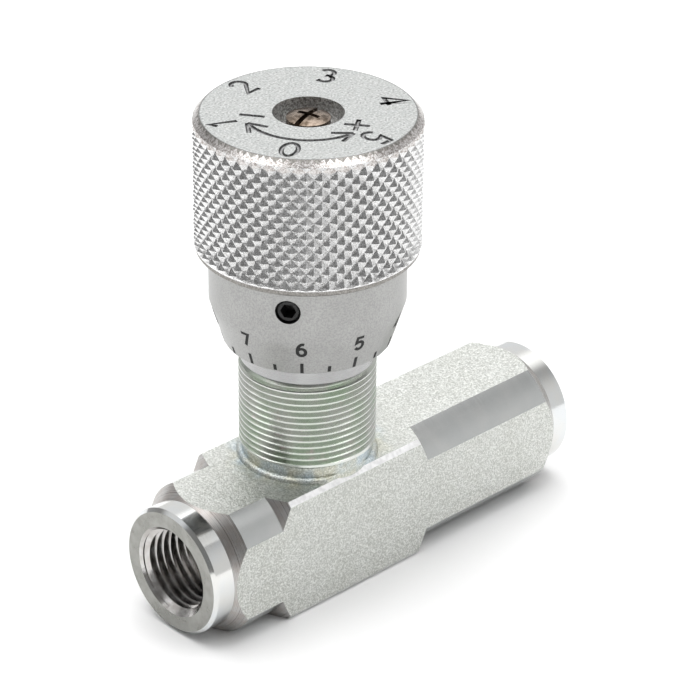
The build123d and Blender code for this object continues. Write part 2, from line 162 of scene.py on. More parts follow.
def solid_copy(node, name):
    """Copy of a CAD node with its split vertices joined again, ready for cutting."""
    made = frame["nodes"][node].copy()
    made.data = frame["nodes"][node].data.copy()
    made.name = name
    made.parent = None
    bpy.context.scene.collection.objects.link(made)
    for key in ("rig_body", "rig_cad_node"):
        if key in made:
            del made[key]
    shape = bmesh.new()
    shape.from_mesh(made.data)
    bmesh.ops.remove_doubles(shape, verts=shape.verts, dist=WELD_DISTANCE)
    shape.to_mesh(made.data)
    shape.free()
    normals = made.data.attributes.get("custom_normal")
    if normals:
        made.data.attributes.remove(normals)
    return made


def cut(target, cutter, operation="DIFFERENCE"):
    """Boolean of two solids, kept on the target; the cutter is thrown away."""
    modifier = target.modifiers.new("cut", "BOOLEAN")
    modifier.operation = operation
    modifier.solver = "MANIFOLD"
    modifier.object = cutter
    bpy.context.view_layer.objects.active = target
    with bpy.context.temp_override(object=target, active_object=target):
        bpy.ops.object.modifier_apply(modifier=modifier.name)
    bpy.data.objects.remove(cutter)


# --- screw threads -----------------------------------------------------------------------------
THREAD_SEGMENTS = 72                         # straight pieces in one turn
CUTTER_CLEARANCE = 0.07 * MM                 # how far a cutter stands out of the wall it cuts
THREAD_FIRST_DEPTH = 0.02                    # turns already faded in where a groove starts
NECK_FADE = 0.5                              # turns over which the neck's groove deepens
NECK_PAST_END = 0.8                          # turns that run out past the neck's end
PORT_FADE = 0.3
PORT_PAST_END = 0.6
PORT_INNER_START = 0.3                       # turns from the right port's inner end to its groove


def helix_groove(place, wall, depth, width, root_width, pitch, start, turns, run_out):
    """Ridge-shaped cutter along a right-hand helix. place(radius, angle, along) gives the point.

    A negative depth cuts outward, into the wall of a hole. The first run_out turns fade in.
    """
    clear = -math.copysign(CUTTER_CLEARANCE, depth)
    widened = width / 2 + abs(clear) * (width - root_width) / (2 * abs(depth))
    rings = []
    for step in range(int(turns * THREAD_SEGMENTS) + 1):
        turn = step / THREAD_SEGMENTS
        fade = min(1.0, (turn + THREAD_FIRST_DEPTH) / run_out)
        middle = start + pitch * turn
        root = wall - depth * fade
        half_root = root_width / 2
        mouth = wall - clear
        half_mouth = half_root + (widened - half_root) * fade
        section = [(mouth, -half_mouth), (root, -half_root), (root, half_root), (mouth, half_mouth)]
        angle = 2 * math.pi * turn
        rings.append([place(radius, angle, middle + offset) for radius, offset in section])
    return mesh_object("thread_cutter", *swept(rings))


def about_neck(radius, angle, along):
    """Point at a radius and a plan angle from the neck's axis, at a height."""
    return Vector((radius * math.cos(angle), radius * math.sin(angle), along))


def about_port(radius, angle, along):
    """Point at a radius and an angle from the ports' axis, at a place along it."""
    return Vector((along, radius * math.cos(angle), port_height + radius * math.sin(angle)))


def threaded_body():
    """The valve body with real screw threads on the neck and in both ports."""
    body = solid_copy("valve_body", "body_machined")
    neck_turns = (neck_top - neck_thread_bottom) / NECK_PITCH + NECK_PAST_END
    cut(body, helix_groove(about_neck, neck_radius, NECK_THREAD_DEPTH, NECK_GROOVE_WIDTH,
                           NECK_ROOT_WIDTH, NECK_PITCH, neck_thread_bottom, neck_turns, NECK_FADE))
    port_turns = port_thread_length / PORT_PITCH + PORT_PAST_END
    left_start = body_low.x - PORT_PAST_END * PORT_PITCH
    right_start = body_high.x - port_thread_length + PORT_INNER_START * PORT_PITCH
    for start in (left_start, right_start):
        cut(body, helix_groove(about_port, port_radius, -PORT_THREAD_DEPTH, PORT_GROOVE_WIDTH,
                               PORT_ROOT_WIDTH, PORT_PITCH, start, port_turns, PORT_FADE))
    return body


# --- knurled head ----------------------------------------------------------------------------
def knurl_envelope():
    """Solid with diamond pyramids around its upper part and clear of the knob below them."""
    columns = 2 * KNURLS_AROUND
    clear = 1.0 * MM
    clear_radius = knob_radius + clear
    point_radius = knob_radius + KNURL_WORN
    valley_radius = point_radius - KNURL_DEPTH
    row_height = KNURL_HEIGHT / 2
    rows = math.ceil((knob_top - land_top) / row_height) + 2

    def circle(height, radii):
        return [about_neck(radii(column), 2 * math.pi * column / columns, height)
                for column in range(columns)]

    rings = [
        circle(rim_height - clear, lambda column: clear_radius),
        circle(land_top - KNURL_STEP_BELOW, lambda column: clear_radius),
    ]
    for row in range(rows):
        height = land_top + KNURL_STEP_ABOVE + row * row_height
        faded = height > knob_top - KNURL_FADE
        rings.append(circle(
            height, lambda column: point_radius if faded or (row + column) % 2 == 0 else valley_radius))
    vertices, faces = swept(rings)
    first_knurl = 2 * columns                # index of the first vertex above the plain rings
    split = []
    for face in faces:
        if len(face) != 4 or face[0] < first_knurl:
            split.append(face)
            continue
        a, b, c, d = face
        row, column = divmod(a, columns)
        if (row + column) % 2 == 0:
            split += [(a, b, d), (b, c, d)]
        else:
            split += [(a, b, c), (a, c, d)]
    return mesh_object("knurl_envelope", vertices, split)


# --- figures -------------------------------------------------------------------------------------
def arc(x, y, width, height, start, end, steps=10):
    """Points on an elliptic arc given by its centre, half width, half height and end angles."""
    points = []
    for step in range(steps + 1):
        angle = math.radians(start + (end - start) * step / steps)
        points.append((x + width * math.cos(angle), y + height * math.sin(angle)))
    return points


# Strokes of each figure in a box 1 high and 0.6 wide about the origin. True marks a closed stroke.
FIGURES = {
    "0": [(arc(0, 0, 0.28, 0.50, 90, 432, 19), True)],
    "1": [([(-0.16, 0.26), (0.04, 0.50), (0.04, -0.50)], False)],
    "2": [(arc(0, 0.23, 0.27, 0.27, 170, -30) + [(-0.28, -0.50), (0.29, -0.50)], False)],
    "3": [(arc(0, 0.25, 0.24, 0.25, 150, -80) + arc(0, -0.24, 0.28, 0.26, 80, -150), False)],
    "4": [([(0.14, -0.50), (0.14, 0.50), (-0.29, -0.22), (0.32, -0.22)], False)],
    "5": [([(0.25, 0.50), (-0.21, 0.50), (-0.25, 0.04)] + arc(0, -0.18, 0.28, 0.32, 125, -150), False)],
    "6": [(arc(0.10, -0.10, 0.37, 0.60, 75, 180) + arc(0, -0.20, 0.27, 0.30, 200, 500, 16), False)],
    "7": [([(-0.28, 0.50), (0.28, 0.50), (-0.10, -0.50)], False)],
    "8": [(arc(0, 0.25, 0.22, 0.25, 0, 342, 15), True), (arc(0, -0.25, 0.28, 0.25, 0, 342, 15), True)],
    "9": [(arc(-0.10, 0.10, 0.37, 0.60, -105, 0) + arc(0, 0.20, 0.27, 0.30, 20, 320, 16), False)],
}


SHARPEST_MITRE = 0.6                         # cosine that limits how far a stroke's corner sticks out


def stroke(points, closed, section, place):
    """Tube along a flat path. section lists (across, out) offsets, place(u, v, out) gives the point."""
    rings = []
    count = len(points)
    for index, (u, v) in enumerate(points):
        before = points[index - 1] if index or closed else points[index]
        after = points[(index + 1) % count] if index + 1 < count or closed else points[index]
        in_way = Vector((u - before[0], v - before[1]))
        out_way = Vector((after[0] - u, after[1] - v))
        if in_way.length == 0:
            in_way = out_way
        if out_way.length == 0:
            out_way = in_way
        way = (in_way.normalized() + out_way.normalized()).normalized()
        half_turn = max(SHARPEST_MITRE, way.dot(out_way.normalized()))
        across = Vector((-way.y, way.x)) / half_turn
        rings.append([place(u + across.x * side, v + across.y * side, out) for side, out in section])
    return swept(rings, closed)


def figure_strokes(figure, height, centre, turn):
    """Strokes of a figure scaled to its height, turned and moved to its place in the flat."""
    cosine, sine = math.cos(turn), math.sin(turn)
    moved = []
    for points, closed in FIGURES[figure]:
        moved.append((
            [(centre[0] + height * (u * cosine - v * sine), centre[1] + height * (u * sine + v * cosine))
             for u, v in points],
            closed,
        ))
    return moved


# --- stamped dial on the knob ---------------------------------------------------------------------
DIAL_RADIUS = 12.3 * MM
DIAL_FIGURE = 4.0 * MM
DIAL_ZERO_ANGLE = -145                       # plan angle of the 0, degrees
DIAL_STEP = -60
ARROW_RADIUS = 9.2 * MM
ARROW_START = -199                           # plan angles of the double arrow's ends
ARROW_END = -91
ARROW_HEAD = 3.1 * MM
ARROW_OPENING = 31                           # angle from the arrow's own direction to each barb
ARROW_CURL = 12                              # how far the heads lean into the curve
SIGN_LENGTH = 3.6 * MM
SIGN_RADIUS = 7.9 * MM
MINUS_ANGLE = -213.5
MINUS_TURN = -55
PLUS_ANGLE = -75.5
PLUS_TURN = -53
STAMP_DEPTH = 0.22 * MM
STAMP_FLOOR = 0.15 * MM                      # half width of a stamped line at its floor
STAMP_MOUTH = 0.36 * MM                      # half width at the surface


def on_dial(u, v, out):
    """Mapping for the stamped marks of the knob's flat top."""
    return Vector((u, v, knob_top + out))


def polar(radius, degrees):
    """Flat point at a radius and an angle."""
    return (radius * math.cos(math.radians(degrees)), radius * math.sin(math.radians(degrees)))


def line_from(point, length, degrees, centred=False):
    """Open stroke of a length in one direction, from a point or centred on it."""
    run, rise = polar(length, degrees)
    share = 0.5 if centred else 0.0
    start = (point[0] - run * share, point[1] - rise * share)
    return ([start, (start[0] + run, start[1] + rise)], False)


def dial_strokes():
    """Figures 0 to 5, the double arrow, the minus and the plus."""
    strokes = []
    for number in range(6):
        angle = DIAL_ZERO_ANGLE + DIAL_STEP * number
        centre = polar(DIAL_RADIUS, angle)
        strokes += figure_strokes(str(number), DIAL_FIGURE, centre, math.radians(angle - 90))
    strokes.append((arc(0, 0, ARROW_RADIUS, ARROW_RADIUS, ARROW_START, ARROW_END, 16), False))
    for end, way in ((ARROW_START, 1), (ARROW_END, -1)):
        heading = end + way * (90 + ARROW_CURL)
        for barb in (-ARROW_OPENING, ARROW_OPENING):
            strokes.append(line_from(polar(ARROW_RADIUS, end), ARROW_HEAD, heading + barb))
    minus = polar(SIGN_RADIUS, MINUS_ANGLE)
    plus = polar(SIGN_RADIUS, PLUS_ANGLE)
    strokes.append(line_from(minus, SIGN_LENGTH, MINUS_TURN, True))
    strokes.append(line_from(plus, SIGN_LENGTH, PLUS_TURN, True))
    strokes.append(line_from(plus, SIGN_LENGTH, PLUS_TURN + 90, True))
    return strokes


def knurled_knob():
    """The knob with its diamond knurl and stamped dial."""
    knob = solid_copy("adjusting_knob", "knob_knurled")
    cut(knob, knurl_envelope(), "INTERSECT")
    flare = (STAMP_MOUTH - STAMP_FLOOR) / STAMP_DEPTH
    above = 0.1 * MM
    top_half = STAMP_MOUTH + flare * above
    section = [
        (-STAMP_FLOOR, -STAMP_DEPTH),
        (STAMP_FLOOR, -STAMP_DEPTH),
        (top_half, above),
        (-top_half, above),
    ]
    for points, closed in dial_strokes():
        cut(knob, mesh_object("stamp", *stroke(points, closed, section, on_dial)))
    return knob


# --- printed scale on the cone ----------------------------------------------------------------------
SCALE_FIGURES = 10
SCALE_STEP = 2 * math.pi / SCALE_FIGURES
SCALE_SIX_ANGLE = math.radians(223.2)        # plan angle of the 6 at rest
SCALE_FIGURE = 2.15 * MM
FIGURE_HEIGHT = rim_height + 4.55 * MM
LONG_MARK = (0.1 * MM, 1.95 * MM)            # foot and top of a line, above the rim
SHORT_MARK = (0.2 * MM, 1.25 * MM)
INK_WIDTH = 0.48 * MM
INK_THICKNESS = 0.02 * MM
INK_SINK = 0.03 * MM                         # how far the print reaches into the metal


def on_cone(angle):
    """Mapping for print at a plan angle of the cone: u runs to the right and v is the height."""
    slope = (SKIRT_RADIUS - RIM_RADIUS) / (cone_top - rim_height)

    def place(u, v, out):
        radius = RIM_RADIUS + slope * (v - rim_height) + out
        return about_neck(radius, angle + u / radius, v)
    return place


def scale_marks():
    """Flat print: figures 0 to 9, a long line under each and a short one between."""
    section = [
        (-INK_WIDTH / 2, -INK_SINK),
        (INK_WIDTH / 2, -INK_SINK),
        (INK_WIDTH / 2, INK_THICKNESS),
        (-INK_WIDTH / 2, INK_THICKNESS),
    ]
    long_line, short_line = ([(0, rim_height + end) for end in mark] for mark in (LONG_MARK, SHORT_MARK))
    parts = []
    for number in range(SCALE_FIGURES):
        angle = SCALE_SIX_ANGLE + (6 - number) * SCALE_STEP
        place = on_cone(angle)
        for points, closed in figure_strokes(str(number), SCALE_FIGURE, (0, FIGURE_HEIGHT), 0.0):
            parts.append(stroke(points, closed, section, place))
        parts.append(stroke(long_line, False, section, place))
        parts.append(stroke(short_line, False, section, on_cone(angle + SCALE_STEP / 2)))
    return joined(parts)


# --- material graphs ------------------------------------------------------------------------------
class Graph:
    """Node graph of one material: a principled surface and the nodes that feed it."""

    def __init__(self, name, metallic=1.0, anisotropic=0.0):
        self.material = bpy.data.materials.new(name)
        self.material.use_nodes = True
        self.tree = self.material.node_tree
        self.surface = self.tree.nodes["Principled BSDF"]
        self.surface.inputs["Metallic"].default_value = metallic
        self.surface.inputs["Anisotropic"].default_value = anisotropic
        self.place = self.node("ShaderNodeTexCoord").outputs["Object"]

    def node(self, kind, values=None, **settings):
        """New node with its settings, and with values or links on its inputs."""
        made = self.tree.nodes.new(kind)
        for key, value in settings.items():
            setattr(made, key, value)
        for socket, value in (values or {}).items():
            self.put(value, made.inputs[socket])
        return made

    def put(self, value, socket):
        """Feed a socket from another node, or set it to a constant."""
        if isinstance(value, bpy.types.NodeSocket):
            self.tree.links.new(value, socket)
        else:
            socket.default_value = value

    def maths(self, operation, first, second=0.0):
        """Result of one arithmetic node."""
        made = self.node("ShaderNodeMath", {0: first, 1: second}, operation=operation)
        return made.outputs[0]

    def noise(self, size, detail=2.0, vector=None, roughness=0.5):
        """Noise from 0 to 1 with features of about the given size in metres."""
        values = {
            "Vector": vector or self.place,
            "Scale": 1 / size,
            "Detail": detail,
            "Roughness": roughness,
        }
        return self.node("ShaderNodeTexNoise", values).outputs["Fac"]

    def span(self, value, low, high, to_low, to_high):
        """Value mapped from one range to another, and held at its ends."""
        values = {0: value, 1: low, 2: high, 3: to_low, 4: to_high}
        return self.node("ShaderNodeMapRange", values).outputs[0]

    def between(self, pattern, low, high):
        """Value from low to high across the middle of a noise pattern."""
        return self.span(pattern, 0.3, 0.7, low, high)

    def blend(self, factor, first, second):
        """Colour between two colours."""
        values = {"Fac": factor, "Color1": first, "Color2": second}
        return self.node("ShaderNodeMixRGB", values).outputs["Color"]

    def mottle(self, pattern, low, high, first, second):
        """Colour that goes from the first to the second as a pattern goes from low to high."""
        return self.blend(self.span(pattern, low, high, 0.0, 1.0), first, second)

    def bump(self, height, depth, normal=None):
        """Surface normal from a height pattern of the given depth in metres."""
        values = {"Height": height, "Distance": depth, "Strength": 1.0}
        if normal:
            values["Normal"] = normal
        return self.node("ShaderNodeBump", values).outputs["Normal"]

    def radius_about(self, axis):
        """Distance from the neck's axis or from the port's axis."""
        parts = self.node("ShaderNodeSeparateXYZ", {0: self.place}).outputs
        first = parts["X"] if axis == "neck" else parts["Y"]
        second = parts["Y"] if axis == "neck" else self.maths("SUBTRACT", parts["Z"], port_height)
        first_square = self.maths("MULTIPLY", first, first)
        second_square = self.maths("MULTIPLY", second, second)
        return self.maths("SQRT", self.maths("ADD", first_square, second_square))

    def along(self, axis):
        """Place along the neck's axis or the port's axis."""
        parts = self.node("ShaderNodeSeparateXYZ", {0: self.place}).outputs
        return parts["Z"] if axis == "neck" else parts["X"]

    def lathe(self, axis, size):
        """Noise in rings about an axis, as a turning tool leaves it."""
        profile = self.node("ShaderNodeCombineXYZ", {0: self.radius_about(axis), 1: self.along(axis)})
        return self.noise(size, 2.0, profile.outputs[0], 0.6)

    def around(self, axis):
        """Direction round an axis, for the stretch of highlights."""
        pivot = (0, 0, 0) if axis == "neck" else (0, 0, port_height)
        along = (0, 0, 1) if axis == "neck" else (1, 0, 0)
        offset = self.node("ShaderNodeVectorMath", {0: self.place, 1: pivot}, operation="SUBTRACT")
        cross = self.node("ShaderNodeVectorMath", {0: along, 1: offset.outputs[0]}, operation="CROSS_PRODUCT")
        return cross.outputs[0]

    def finish(self, colour, roughness, normal=None, tangent=None):
        """Join the surface's inputs and hand the material over."""
        self.put(colour, self.surface.inputs["Base Color"])
        self.put(roughness, self.surface.inputs["Roughness"])
        if normal:
            self.put(normal, self.surface.inputs["Normal"])
        if tangent:
            self.put(tangent, self.surface.inputs["Tangent"])
        return self.material


def grey(value, warm=0.0):
    """Opaque grey, warmer for a positive second value."""
    return (value * (1 + warm), value, value * (1 - warm), 1.0)


# --- body materials -----------------------------------------------------------------------------
def blasted_zinc():
    """Bright zinc over blasted steel flats, tinted round the neck: blue from the plating's own iridescence,
    olive as a painted reflection of the neck.
    """
    g = Graph("zinc_blasted")
    grain = g.noise(0.24 * MM, 2.0, roughness=0.6)
    cloud = g.noise(6.0 * MM, 2.0)
    distance = g.radius_about("neck")
    wander = g.maths("MULTIPLY", cloud, 4 * MM)
    close = g.span(g.maths("ADD", distance, wander), 12.0 * MM, 14.6 * MM, 1.0, 0.0)
    on_top = g.span(g.along("neck"), bar_top - 0.4 * MM, bar_top, 0.0, 1.0)
    near_neck = g.maths("MULTIPLY", close, on_top)
    # olive: painted reflection of the dark neck on the flat top; blue: the plating's own iridescence
    olive_reflection = (0.53, 0.53, 0.43, 1)
    blue = (0.46, 0.55, 0.60, 1)
    tint_and_reflection = g.mottle(g.noise(3.5 * MM), 0.4, 0.6, olive_reflection, blue)
    base = g.mottle(cloud, 0.35, 0.65, (0.555, 0.565, 0.535, 1), (0.585, 0.595, 0.57, 1))
    colour = g.blend(g.maths("MULTIPLY", near_neck, 0.9), base, tint_and_reflection)
    speck = g.blend(g.span(grain, 0.50, 0.66, 0.0, 0.65), colour, (0.90, 0.91, 0.88, 1))
    pit = g.blend(g.span(grain, 0.34, 0.50, 0.65, 0.0), speck, (0.31, 0.32, 0.29, 1))
    rough = g.between(grain, 0.32, 0.44)
    return g.finish(pit, rough, g.bump(grain, 0.10 * MM))


def step_zinc():
    """Zinc over the coned steps, which keep the hatch of the turning tool."""
    g = Graph("zinc_step", anisotropic=0.5)
    lines = g.lathe("port", 0.13 * MM)
    cloud = g.noise(1.5 * MM, 3.0)
    colour = g.mottle(cloud, 0.4, 0.6, (0.46, 0.43, 0.41, 1), (0.50, 0.49, 0.48, 1))
    scored = g.blend(g.span(lines, 0.36, 0.50, 0.7, 0.0), colour, (0.24, 0.22, 0.20, 1))
    rough = g.between(lines, 0.24, 0.36)
    return g.finish(scored, rough, g.bump(lines, 0.024 * MM), g.around("port"))


def turned_zinc():
    """Zinc over the smooth-turned corners of the bar and the round part of each arm."""
    g = Graph("zinc_turned", anisotropic=0.4)
    lines = g.lathe("port", 0.16 * MM)
    cloud = g.noise(5.0 * MM)
    colour = g.mottle(cloud, 0.4, 0.65, (0.565, 0.58, 0.575, 1), (0.60, 0.61, 0.60, 1))
    rough = g.between(lines, 0.18, 0.26)
    return g.finish(colour, rough, g.bump(lines, 0.004 * MM), g.around("port"))


def edge_zinc():
    """Zinc along the bar's long edges, coloured pale as a painted highlight."""
    g = Graph("zinc_edge")
    wear_and_highlight_noise = g.noise(0.8 * MM, 3.0)
    # pale greys: painted highlight along the edge bevel
    colour = g.mottle(wear_and_highlight_noise, 0.4, 0.6, grey(0.80), grey(0.94))
    return g.finish(colour, g.between(wear_and_highlight_noise, 0.48, 0.60), g.bump(wear_and_highlight_noise, 0.02 * MM))


def boss_zinc():
    """Zinc over the polished round end bosses."""
    g = Graph("zinc_boss", anisotropic=0.5)
    lines = g.lathe("port", 0.14 * MM)
    cloud = g.noise(4.0 * MM)
    colour = g.mottle(cloud, 0.4, 0.65, (0.72, 0.72, 0.70, 1), (0.70, 0.72, 0.73, 1))
    rough = g.between(lines, 0.09, 0.14)
    return g.finish(colour, rough, g.bump(lines, 0.002 * MM), g.around("port"))


def face_zinc():
    """Zinc over the faced ends of the arms."""
    g = Graph("zinc_face", anisotropic=0.3)
    lines = g.lathe("port", 0.12 * MM)
    cloud = g.noise(2.0 * MM, 3.0)
    colour = g.mottle(cloud, 0.4, 0.65, (0.28, 0.28, 0.26, 1), (0.35, 0.35, 0.33, 1))
    rough = g.between(cloud, 0.24, 0.36)
    return g.finish(colour, rough, g.bump(lines, 0.008 * MM), g.around("port"))


def bore_zinc():
    """Zinc inside the ports, darker and oily."""
    g = Graph("zinc_bore")
    lines = g.lathe("port", 0.12 * MM)
    cloud = g.noise(1.5 * MM)
    colour = g.mottle(cloud, 0.35, 0.65, (0.50, 0.48, 0.46, 1), (0.66, 0.65, 0.64, 1))
    rough = g.between(cloud, 0.16, 0.26)
    return g.finish(colour, rough, g.bump(lines, 0.006 * MM))


def thread_zinc():
    """Zinc on the neck's thread, faintly green and pink, with painted highlight on its crests and painted
    shade in its roots.
    """
    g = Graph("zinc_thread")
    cloud = g.noise(5.0 * MM, 2.0)
    fine = g.noise(0.5 * MM, 2.0)
    green = (0.47, 0.53, 0.45, 1)
    pale = (0.53, 0.55, 0.51, 1)
    pink = (0.60, 0.54, 0.53, 1)
    mixed = g.mottle(cloud, 0.40, 0.60, green, pale)
    colour = g.blend(g.span(g.noise(2.2 * MM), 0.60, 0.74, 0.0, 0.8), mixed, pink)
    rough = g.between(fine, 0.16, 0.26)
    # crests are coloured light as a painted highlight, roots dark as painted shade in the grooves
    crest = g.span(g.radius_about("neck"), neck_radius - 0.10 * MM, neck_radius - 0.01 * MM, 0.0, 1.0)
    root_painted_shade = g.blend(0.10, colour, grey(0.16))
    crest_painted_highlight = g.blend(0.45, colour, grey(0.86))
    thread_with_painted_light = g.blend(crest, root_painted_shade, crest_painted_highlight)
    return g.finish(thread_with_painted_light, rough, g.bump(g.noise(0.15 * MM, 2.0), 0.003 * MM))


TOLERANCE = 0.02 * MM                        # a face this near a plane or cylinder lies on it
FACING = 0.98                                # least share of a normal for a face that looks one way
SQUARE_TO_PORT = 0.999
SLANTED = 0.1                                # least X share of a normal on a coned step


def dress_body(body):
    """Give each region of the body its own finish, by where the face is and which way it looks."""
    makers = [
        blasted_zinc, turned_zinc, step_zinc, edge_zinc,
        boss_zinc, face_zinc, bore_zinc, thread_zinc,
    ]
    body.data.materials.clear()
    for maker in makers:
        body.data.materials.append(maker())
    flat, turned, step, edge, boss, end_face, bore, thread = range(len(makers))
    boss_length = 3.5 * MM
    boss_radius = 9.7 * MM
    root_radius = 9 * MM                     # beyond it lies the neck's wide foot, below its thread
    root_top = neck_thread_bottom - 0.3 * MM
    neck_bore_foot = port_height + 5 * MM    # from here up the neck's bore is finished as its thread
    mouth_radius = port_radius + 1.1 * MM    # just past the widest part of a port's countersink
    edge_reach = 13.2 * MM                   # beyond this from the port's axis lie the bar's own edges
    for face in body.data.polygons:
        centre, normal = face.center, face.normal
        from_port = math.hypot(centre.y, centre.z - port_height)
        from_neck = math.hypot(centre.x, centre.y)
        to_side = abs(abs(centre.y) - half_width)
        to_flat = min(abs(centre.z), abs(centre.z - bar_top))
        on_bar_side = to_side < TOLERANCE and abs(normal.y) > FACING
        on_bar_flat = to_flat < TOLERANCE and abs(normal.z) > FACING
        in_neck_bore = from_neck < root_radius and centre.z > neck_bore_foot
        in_port_boss = centre.x < body_low.x + boss_length or centre.x > body_high.x - boss_length
        if bar_top + TOLERANCE < centre.z < root_top and from_neck > root_radius:
            region = flat
        elif centre.z > bar_top + TOLERANCE or in_neck_bore:
            region = thread
        elif on_bar_side or on_bar_flat:
            region = flat
        elif from_port < mouth_radius and abs(normal.x) < SQUARE_TO_PORT:
            region = bore
        elif in_port_boss and abs(normal.x) > FACING:
            region = end_face
        elif in_port_boss and from_port < boss_radius + TOLERANCE:
            region = boss
        elif abs(normal.x) > SLANTED:
            region = step
        elif from_port > edge_reach:
            region = edge
        else:
            region = turned
        face.material_index = region


# --- knob materials -------------------------------------------------------------------------------
def knurl_aluminium():
    """Bright knurl with dull burrs."""
    g = Graph("knob_knurl")
    burr = g.noise(0.30 * MM, 3.0, roughness=0.7)
    cloud = g.noise(1.2 * MM)
    clean = g.mottle(cloud, 0.4, 0.65, grey(0.78), grey(0.86))
    colour = g.blend(g.span(burr, 0.36, 0.50, 0.45, 0.0), clean, (0.34, 0.32, 0.30, 1))
    rough = g.between(burr, 0.20, 0.32)
    return g.finish(colour, rough, g.bump(burr, 0.035 * MM))


def satin_aluminium():
    """Turned, lightly blasted skin of the skirt and of the knob's hidden faces."""
    g = Graph("knob_satin", anisotropic=0.3)
    grain = g.noise(0.26 * MM, 2.0, roughness=0.6)
    lines = g.lathe("neck", 0.14 * MM)
    base = g.mottle(g.noise(5 * MM), 0.4, 0.65, (0.375, 0.375, 0.365, 1), (0.405, 0.405, 0.395, 1))
    colour = g.blend(g.span(grain, 0.38, 0.60, 0.6, 0.0), base, grey(0.26))
    rough = g.between(grain, 0.28, 0.38)
    normal = g.bump(grain, 0.040 * MM, g.bump(lines, 0.004 * MM))
    return g.finish(colour, rough, normal, g.around("neck"))


def chamfer_aluminium():
    """Chamfer round the dial, coarser and brighter than the skirt."""
    g = Graph("knob_chamfer", anisotropic=0.2)
    grain = g.noise(0.30 * MM, 3.0, roughness=0.7)
    colour = g.mottle(grain, 0.36, 0.58, (0.30, 0.27, 0.25, 1), (0.66, 0.64, 0.63, 1))
    return g.finish(colour, g.between(grain, 0.18, 0.26), g.bump(grain, 0.014 * MM), g.around("neck"))


def land_aluminium():
    """Plain band under the knurl, dull, and coloured dark as painted shade below the knurl."""
    g = Graph("knob_land")
    grain = g.noise(0.30 * MM, 3.0, roughness=0.7)
    # dark greys: painted shade below the knurl
    colour = g.mottle(grain, 0.36, 0.60, (0.17, 0.16, 0.15, 1), (0.34, 0.33, 0.31, 1))
    return g.finish(colour, g.between(grain, 0.30, 0.42), g.bump(grain, 0.02 * MM))


def dial_aluminium():
    """Matt top of the head, with fine pits and scuffs."""
    g = Graph("knob_dial")
    grain = g.noise(0.32 * MM, 2.0, roughness=0.6)
    scuff = g.noise(1.8 * MM, 3.0)
    base = g.mottle(scuff, 0.40, 0.65, (0.50, 0.515, 0.505, 1), (0.53, 0.54, 0.53, 1))
    colour = g.blend(g.span(grain, 0.52, 0.66, 0.0, 0.7), base, grey(0.78))
    pitted = g.blend(g.span(grain, 0.32, 0.46, 0.8, 0.0), colour, grey(0.26))
    brink = knob_radius - KNOB_CHAMFER
    # a thin ring just inside the chamfer is coloured near black
    brink_darkening = g.span(g.radius_about("neck"), brink - 0.20 * MM, brink - 0.04 * MM, 0.0, 0.75)
    rough = g.between(grain, 0.34, 0.46)
    return g.finish(g.blend(brink_darkening, pitted, grey(0.08)), rough, g.bump(grain, 0.080 * MM))


def stamped_aluminium():
    """Slanted walls of the stamped figures, coloured nearly black."""
    g = Graph("knob_stamp_wall")
    blotch = g.noise(0.35 * MM, 3.0)
    colour = g.mottle(blotch, 0.35, 0.65, grey(0.03), grey(0.12))
    return g.finish(colour, g.between(blotch, 0.40, 0.60), g.bump(g.noise(0.1 * MM), 0.008 * MM))


def stamp_floor_aluminium():
    """Floor of the stamped figures, dark grey."""
    g = Graph("knob_stamp_floor")
    blotch = g.noise(0.30 * MM, 3.0)
    colour = g.mottle(blotch, 0.35, 0.60, grey(0.16), grey(0.40))
    return g.finish(colour, g.between(blotch, 0.40, 0.60), g.bump(blotch, 0.015 * MM))


def recess_aluminium():
    """Counterbore round the knob's screw, brownish with old grease."""
    g = Graph("knob_recess")
    blotch = g.noise(0.32 * MM, 3.0, roughness=0.7)
    colour = g.mottle(blotch, 0.38, 0.60, (0.30, 0.29, 0.28, 1), (0.86, 0.86, 0.85, 1))
    return g.finish(colour, g.between(blotch, 0.34, 0.5), g.bump(blotch, 0.06 * MM))


def scale_ink():
    """Black print of the scale, hardly worn."""
    g = Graph("scale_ink", metallic=0.0)
    wear_and_highlight_noise = g.noise(0.25 * MM, 3.0)
    colour = g.mottle(wear_and_highlight_noise, 0.55, 0.75, grey(0.006), grey(0.03))
    return g.finish(colour, g.between(wear_and_highlight_noise, 0.6, 0.75), g.bump(wear_and_highlight_noise, 0.004 * MM))


